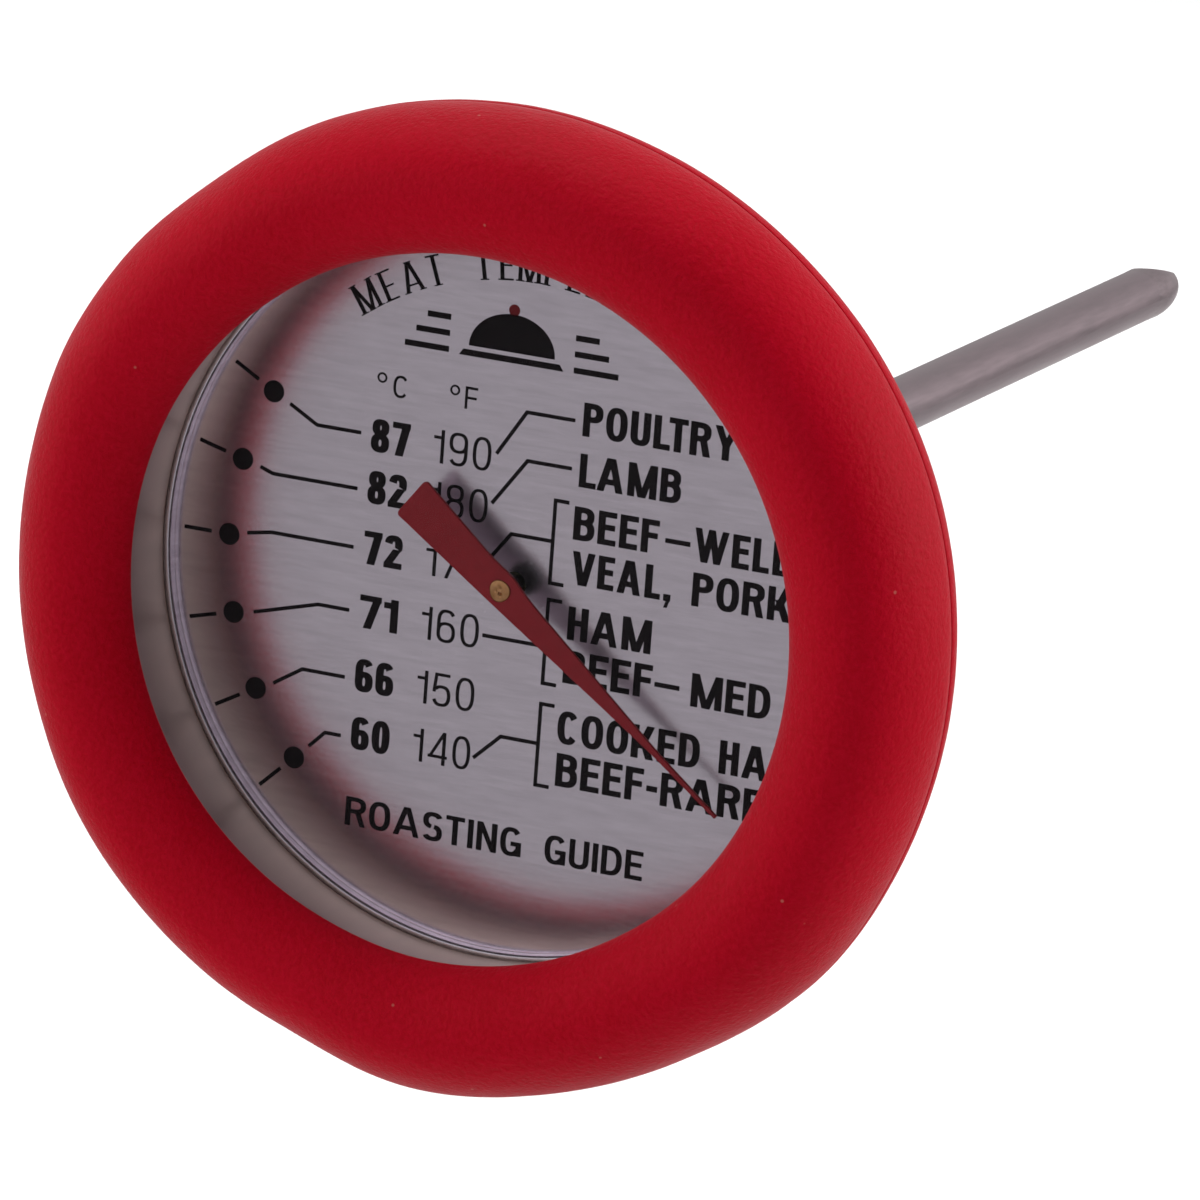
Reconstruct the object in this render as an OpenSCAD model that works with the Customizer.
// Leave-in dial meat thermometer with a silicone ring around its head.
// The dial faces -Y with 12 o'clock at +Z. The stem points along +Y and leaves the head at the origin.
// Head profiles are [radius, height] points, with heights measured forward from the face of the dial.

/* [Silicone ring] */
// Outer radius of the ring
ring_r = 35; // [34.5:0.1:37]
// Height of the crown above the dial
crown_h = 12.8; // [12.2:0.1:14]
// Radius of the opening inside the front lip
lip_r = 25.1; // [24:0.1:25.4]
// Height of the lip's edge above the dial
lip_h = 9.85; // [9.7:0.05:10.4]
// Width of the parting groove around the outside
groove_w = 0.5; // [0.3:0.05:0.8]
// Depth of the parting groove
groove_depth = 0.3; // [0.1:0.05:0.5]

/* [Case] */
// Outer radius of the case's wall
case_r = 27.6; // [27.4:0.1:27.8]
// Thickness of the case's sheet
sheet = 0.5; // [0.4:0.05:0.6]
// Radius of the dished back behind the shoulder
back_r = 22.5; // [20:0.5:23]
// Thickness of the lens
lens_t = 1.2; // [0.8:0.1:1.2]

/* [Dial] */
// Depth of the dial's face in front of the stem's root
dial_depth = 5; // [4.8:0.1:5.4]
// Thickness of the dial's sheet
dial_t = 0.4; // [0.3:0.05:0.5]
// Radius of the flat face
dial_flat_r = 26.1; // [25.5:0.1:26.2]
// Radius of the rolled edge's bead
bead_r = 0.22; // [0.2:0.01:0.24]

/* [Stem] */
// Outer radius of the stem
stem_r = 2.15; // [2:0.05:2.4]
// Wall of the stem
stem_wall = 0.35; // [0.25:0.05:0.4]
// Length of the plain tube behind the head
tube_length = 116.5; // [100:0.5:140]
// Length of the closed tip
tip_length = 7.5; // [7:0.1:9]

/* [Pointer] */
// Length from the pin to the point
pointer_front = 22; // [18:0.5:24]
// Length from the pin to the tail
pointer_tail = 9.2; // [6:0.2:12]
// Width across the tail
tail_w = 3.4; // [2.5:0.1:4]
// Width at the pin
waist_w = 2.4; // [2:0.1:2.8]
// Height of the pointer's front face above the dial
pointer_h = 2.4; // [2.2:0.1:3]
// Direction of the pointer at rest, counter-clockwise from 3 o'clock
pointer_turn = -37.3; // [-90:0.1:0]

/* [Bimetal helix] */
// Length of the helix
helix_length = 44; // [30:1:46]
// Number of turns
helix_turns = 11; // [6:1:14]
// Width of the strip
strip_w = 1.6; // [1:0.1:2]
// Thickness of the strip
strip_t = 0.25; // [0.15:0.05:0.3]

/* [Hidden] */

$fn = 96;
seat_gap = 0.05;      // between neighbours that are assembled and don't move
running_gap = 0.05;   // radial, between the spindle and its guides

// Stack in front of the dial, as heights above its face
flange_h = 6.6;
flange_t = 0.4;
gasket_t = 0.5;
gasket_h = flange_h + flange_t;
lens_h = gasket_h + gasket_t;
lens_front_h = lens_h + lens_t;
bezel_h = lens_front_h + seat_gap;
bezel_t = 0.4;
bezel_front_h = bezel_h + bezel_t;
flange_r = 28.3;
lens_r = 27.9;
bezel_in_r = flange_r + 0.15;
bezel_out_r = bezel_in_r + bezel_t;
bezel_skirt_h = 6.1;
wall_r = case_r - sheet - seat_gap;
wall_t = 0.2;
rim_h = 0.8;

// Stack behind the dial
flange_back_t = 0.8;
washer_t = 0.4;
back_h = -dial_depth + flange_back_t + washer_t;
shoulder_h = -dial_t - sheet;
ferrule_r = 2.9;
ferrule_flange_r = 4.2;
nut_t = 1.3;
nut_across = 8;
neck_length = 3.4;
neck_r = stem_r - 0.25;

// Shaft and pointer
spindle_r = 0.45;
guide_r = stem_r - stem_wall - seat_gap;
guide_bore_r = spindle_r + running_gap;
pointer_t = 0.3;
rivet_r = 0.72;
rivet_head = 0.3;
rivet_shank_r = 0.3;
hub_r = 1.15;
hub_neck_r = 0.7;
hub_low_h = 0.5;
hub_top_h = pointer_h - pointer_t;
hub_flange_h = hub_top_h - 0.7;
spindle_top_h = 1.5;
point_w = 0.24;

// Helix and what holds its ends
tip_plug = 3;
anchor_length = 4;
boss_r = 0.9;
boss_length = 2.4;
helix_r = boss_r + seat_gap + strip_t / 2;
helix_end = tube_length - tip_plug - 1 - anchor_length - strip_w / 2;
helix_start = helix_end - helix_length;
helix_steps = 18;

// Position of the dial's face along the stem's axis
dial_y = -dial_depth;

// Points of a circular arc in a profile, from angle a0 to a1
function arc(r, h, radius, a0, a1, n = 8) =
    [for (i = [0:n]) let (a = a0 + (a1 - a0) * i / n) [r + radius * cos(a), h + radius * sin(a)]];

// Points of an elliptical arc in a profile
function ellipse(r, h, rr, rh, a0, a1, n = 16) =
    [for (i = [0:n]) let (a = a0 + (a1 - a0) * i / n) [r + rr * cos(a), h + rh * sin(a)]];

// Points of a cubic curve with end points p0, p3 and handles p1, p2
function curve(p0, p1, p2, p3, n = 12) =
    [for (i = [0:n]) let (t = i / n, s = 1 - t)
        s * s * s * p0 + 3 * s * s * t * p1 + 3 * s * t * t * p2 + t * t * t * p3];

// Places a child drawn in the dial's own plane: x to 3 o'clock, y to 12 o'clock, z forward
module on_dial(height = 0) {
    translate([0, dial_y - height, 0])
        rotate([90, 0, 0])
            children();
}

// Places a child on the stem's axis, with z pointing to the tip
module on_stem(along = 0) {
    translate([0, along, 0])
        rotate([-90, 0, 0])
            children();
}

module turned(points) {
    on_dial()
        rotate_extrude()
            polygon(points);
}

module bush(along, length, outer, bore) {
    on_stem(along)
        difference() {
            cylinder(r = outer, h = length);
            translate([0, 0, -1])
                cylinder(r = bore, h = length + 2);
        }
}

// Moulded ring: front lip, crown, parting groove, and a back lip that hooks round the case's shoulder
module silicone_ring() {
    crown_w = 5.25;
    crown_r = ring_r - crown_w;
    side_h = 5.6;
    back_round = 3.2;
    groove_h = side_h - 0.7;
    side_r = ring_r - 0.05;
    back_turn = -62;
    nose = 0.7;
    back_nose_r = 25.3;
    inner_r = case_r + seat_gap;
    shoulder_seat_h = shoulder_h - seat_gap;
    back_lip_h = shoulder_seat_h - nose;
    recess_r = bezel_out_r + seat_gap;
    recess_h = bezel_front_h + seat_gap;
    lip_nose = 0.2;
    lip_root_r = lip_r + 1.4;
    back_start = arc(side_r - back_round, side_h - 1, back_round, 0, back_turn);
    leave = back_start[len(back_start) - 1];
    heading = [sin(back_turn), -cos(back_turn)];
    profile = concat(
        [[lip_root_r, recess_h]],
        arc(lip_r + lip_nose, lip_h, lip_nose, 250, 140, 6),
        curve([lip_r + 0.12, lip_h + 0.2], [lip_r + 1.1, lip_h + 1.4], [crown_r - 2.2, crown_h],
              [crown_r, crown_h], 16),
        ellipse(crown_r, side_h, crown_w, crown_h - side_h, 88, 0, 22),
        [[side_r, groove_h + groove_w / 2],
         [side_r - groove_depth, groove_h + groove_w / 4],
         [side_r - groove_depth, groove_h - groove_w / 4]],
        back_start,
        curve(leave, leave + 3 * heading, [28.8, back_lip_h - nose + 0.1], [26.6, back_lip_h - nose]),
        arc(back_nose_r, back_lip_h, nose, 270, 90, 8),
        [[inner_r, shoulder_seat_h],
         [inner_r, bezel_skirt_h - seat_gap],
         [recess_r, bezel_skirt_h - seat_gap],
         [recess_r, recess_h]]);
    color("crimson")
        turned(profile);
}

// Drawn cup: dished back with a centre hole, shoulder under the dial, wall, and a flange at the mouth
module case_cup() {
    hole_r = ferrule_r + seat_gap;
    corner = 2;
    outside = concat(
        [[hole_r, back_h]],
        arc(back_r - corner, back_h + corner, corner, 270, 360),
        arc(back_r + 0.8, shoulder_h - 0.8, 0.8, 180, 90),
        arc(case_r - 0.9, shoulder_h + 0.9, 0.9, 270, 360),
        [[case_r, flange_h],
         [flange_r, flange_h],
         [flange_r, flange_h + flange_t]]);
    inside = concat(
        [[case_r - sheet, flange_h + flange_t]],
        arc(case_r - 0.9, shoulder_h + 0.9, 0.9 - sheet, 360, 270),
        arc(back_r + 0.8, shoulder_h - 0.8, 0.8 + sheet, 90, 180),
        arc(back_r - corner, back_h + corner, corner - sheet, 360, 270),
        [[hole_r, back_h + sheet]]);
    color("silver")
        turned(concat(outside, inside));
}

// Crimped rim: front flange over the lens, skirt, and an edge turned in under the case's flange
module bezel_ring() {
    profile = [
        [lip_r + 1, bezel_h],
        [bezel_in_r, bezel_h],
        [bezel_in_r, flange_h - seat_gap],
        [case_r + seat_gap, flange_h - seat_gap],
        [case_r + seat_gap, bezel_skirt_h],
        [bezel_out_r, bezel_skirt_h],
        [bezel_out_r, bezel_front_h],
        [lip_r + 1, bezel_front_h]];
    color("lightgray")
        turned(profile);
}

module lens() {
    edge = 0.15;
    profile = [
        [0, lens_h],
        [lens_r - edge, lens_h],
        [lens_r, lens_h + edge],
        [lens_r, lens_front_h - edge],
        [lens_r - edge, lens_front_h],
        [0, lens_front_h]];
    color([0.85, 0.93, 0.95, 0.3])
        turned(profile);
}

module lens_gasket() {
    profile = [
        [wall_r - wall_t, gasket_h],
        [lens_r, gasket_h],
        [lens_r, lens_h],
        [wall_r - wall_t, lens_h]];
    color("whitesmoke")
        turned(profile);
}

// Spacer ring that stands on the dial's rolled edge, with a small foot rolled inwards
module wall_ring() {
    foot = 0.12;
    profile = concat(
        [[wall_r - wall_t, rim_h + seat_gap + 2 * foot]],
        arc(wall_r - wall_t - 0.07, rim_h + seat_gap + foot, foot, 90, 270, 8),
        [[wall_r, rim_h + seat_gap],
         [wall_r, gasket_h],
         [wall_r - wall_t, gasket_h]]);
    color("tan")
        turned(profile);
}

// Pressed pan: flat face, rim curving up, and a rolled bead along its edge
module dial_plate() {
    hole_r = 0.9;
    bead_at_r = wall_r - wall_t - 0.2;
    bead_h = rim_h - bead_r;
    stand_r = bead_at_r - dial_t / 2;
    profile = concat(
        [[hole_r, 0]],
        curve([dial_flat_r, 0], [stand_r - 0.1, 0], [stand_r, 0.1], [stand_r, bead_h - bead_r], 8),
        arc(bead_at_r, bead_h, bead_r, 215, -35, 18),
        curve([stand_r + dial_t, bead_h - bead_r], [stand_r + dial_t, 0], [stand_r, -dial_t],
              [dial_flat_r, -dial_t], 8),
        [[hole_r, -dial_t]]);
    color("gainsboro")
        turned(profile);
}

// Stepped bush: flange behind the case, body through the hole, bore for the tube's neck
module stem_ferrule() {
    body_end = back_h + sheet + nut_t + 0.3 - (-dial_depth);
    color("silver")
        difference() {
            union() {
                on_stem(-flange_back_t)
                    cylinder(r = ferrule_flange_r, h = flange_back_t);
                on_stem(-body_end)
                    cylinder(r = ferrule_r, h = body_end - flange_back_t / 2);
            }
            on_stem(-body_end - 1)
                cylinder(r = neck_r + seat_gap / 2, h = body_end + 2);
        }
}

module ferrule_washer() {
    color("dimgray")
        bush(-flange_back_t - washer_t, washer_t, ferrule_flange_r - 0.2, ferrule_r + seat_gap);
}

module ferrule_nut() {
    nut_y = -(back_h + sheet + dial_depth) - nut_t;
    color("silver")
        on_stem(nut_y)
            difference() {
                cylinder(d = nut_across / cos(30), h = nut_t, $fn = 6);
                translate([0, 0, -1])
                    cylinder(r = ferrule_r + seat_gap, h = nut_t + 2);
            }
}

// Drawn tube with a swaged neck inside the ferrule
module stem_tube() {
    inner_r = stem_r - stem_wall;
    neck_in_r = inner_r - 0.25;
    profile = [
        [neck_r, -neck_length],
        [neck_r, 0],
        [stem_r, 0],
        [stem_r, tube_length],
        [inner_r, tube_length],
        [inner_r, 0.6],
        [neck_in_r, 0.2],
        [neck_in_r, -neck_length]];
    color("darkgray")
        on_stem()
            rotate_extrude()
                polygon(profile);
}

// Closed end: plug in the tube, slight flare, blunt nose, and a flat ground on one side
module stem_tip() {
    nose_length = 5.6;
    flare_r = stem_r + 0.03;
    nose_at = tip_length - nose_length;
    plug_r = stem_r - stem_wall - seat_gap / 2;
    ground_turn = 10;
    ground_angle = 14.5;
    ground_start = 1;
    profile = concat(
        [[0, -tip_plug],
         [plug_r, -tip_plug],
         [plug_r, 0],
         [stem_r, 0]],
        ellipse(0, nose_at, flare_r, nose_length, 0, 90, 20));
    color("darkgray")
        on_stem(tube_length)
            difference() {
                rotate_extrude()
                    polygon(profile);
                rotate([0, 0, 180 - ground_turn])
                    translate([-stem_r * 2, flare_r, ground_start])
                        rotate([ground_angle, 0, 0])
                            cube([stem_r * 4, stem_r * 2, tip_length * 2]);
            }
}

module upper_guide() {
    color("wheat")
        bush(-neck_length + 0.4, neck_length - 0.6, neck_r - stem_wall - 0.05, guide_bore_r);
}

module middle_guide() {
    color("wheat")
        bush(helix_start / 2, 3, guide_r, guide_bore_r);
}

module lower_guide() {
    color("wheat")
        bush(helix_start - 6, 3, guide_r, guide_bore_r);
}

// Plug near the tip, with a boss that the outer end of the helix is welded round
module helix_anchor() {
    color("silver")
        union() {
            on_stem(helix_end + strip_w / 2)
                cylinder(r = guide_r, h = anchor_length);
            on_stem(helix_end + strip_w / 2 - boss_length)
                cylinder(r = boss_r, h = boss_length + 0.5);
        }
}

// Bimetal strip wound round the stem's axis
module bimetal_helix() {
    steps = helix_turns * helix_steps;
    half = [strip_t / 2, strip_w / 2];
    corners = [[-1, -1], [1, -1], [1, 1], [-1, 1]];
    rings = [for (i = [0:steps], c = corners)
        let (a = 360 * i / helix_steps, r = helix_r + c[0] * half[0])
            [r * cos(a), r * sin(a), helix_length * i / steps + c[1] * half[1]]];
    sides = [for (i = [0:steps - 1], k = [0:3])
        let (j = (k + 1) % 4, a = 4 * i, b = 4 * (i + 1))
            [a + k, a + j, b + j, b + k]];
    caps = [[3, 2, 1, 0], [4 * steps, 4 * steps + 1, 4 * steps + 2, 4 * steps + 3]];
    color("peru")
        on_stem(helix_start)
            polyhedron(rings, concat(sides, caps), convexity = 10);
}

module helix_collar() {
    collar_length = strip_w + 2.4;
    color("goldenrod")
        bush(helix_start - strip_w / 2 - 1.2, collar_length, boss_r, spindle_r + 0.02);
}

module spindle() {
    spindle_end = helix_start + strip_w / 2 + 1;
    color("gray")
        on_stem(dial_y - spindle_top_h)
            cylinder(r = spindle_r, h = spindle_end - dial_y + spindle_top_h);
}

// Flanged bush under the pointer: wide bore for the spindle, narrow bore for the rivet
module pointer_hub() {
    profile = [
        [spindle_r + 0.01, hub_low_h],
        [hub_neck_r, hub_low_h],
        [hub_neck_r, hub_flange_h],
        [hub_r, hub_flange_h],
        [hub_r, hub_top_h],
        [rivet_shank_r + 0.01, hub_top_h],
        [rivet_shank_r + 0.01, spindle_top_h + seat_gap],
        [spindle_r + 0.01, spindle_top_h + seat_gap]];
    color("rosybrown")
        turned(profile);
}

// Flat tapered pointer with a wide tail
module pointer() {
    corner = 0.25;
    taper_at = 16;
    taper_w = 0.4;
    outline = [
        [-pointer_tail + corner, tail_w / 2],
        [0, waist_w / 2],
        [taper_at, taper_w / 2],
        [pointer_front, point_w / 2],
        [pointer_front, -point_w / 2],
        [taper_at, -taper_w / 2],
        [0, -waist_w / 2],
        [-pointer_tail + corner, -tail_w / 2],
        [-pointer_tail, -tail_w / 2 + corner],
        [-pointer_tail, tail_w / 2 - corner]];
    color("firebrick")
        on_dial(hub_top_h)
            rotate([0, 0, pointer_turn])
                difference() {
                    linear_extrude(pointer_t)
                        polygon(outline);
                    translate([0, 0, -1])
                        cylinder(r = rivet_shank_r + 0.01, h = pointer_t + 2, $fn = 32);
                }
}

module pointer_rivet() {
    profile = concat(
        [[0, spindle_top_h + 2 * seat_gap],
         [rivet_shank_r, spindle_top_h + 2 * seat_gap],
         [rivet_shank_r, pointer_h],
         [rivet_r, pointer_h]],
        ellipse(rivet_r - 0.3, pointer_h, 0.3, rivet_head, 0, 90, 8),
        [[0, pointer_h + rivet_head]]);
    color("darkgoldenrod")
        turned(profile);
}

silicone_ring();
case_cup();
bezel_ring();
lens();
lens_gasket();
wall_ring();
dial_plate();
stem_ferrule();
ferrule_washer();
ferrule_nut();
stem_tube();
stem_tip();
upper_guide();
middle_guide();
lower_guide();
helix_anchor();
bimetal_helix();
helix_collar();
spindle();
pointer_hub();
pointer();
pointer_rivet();
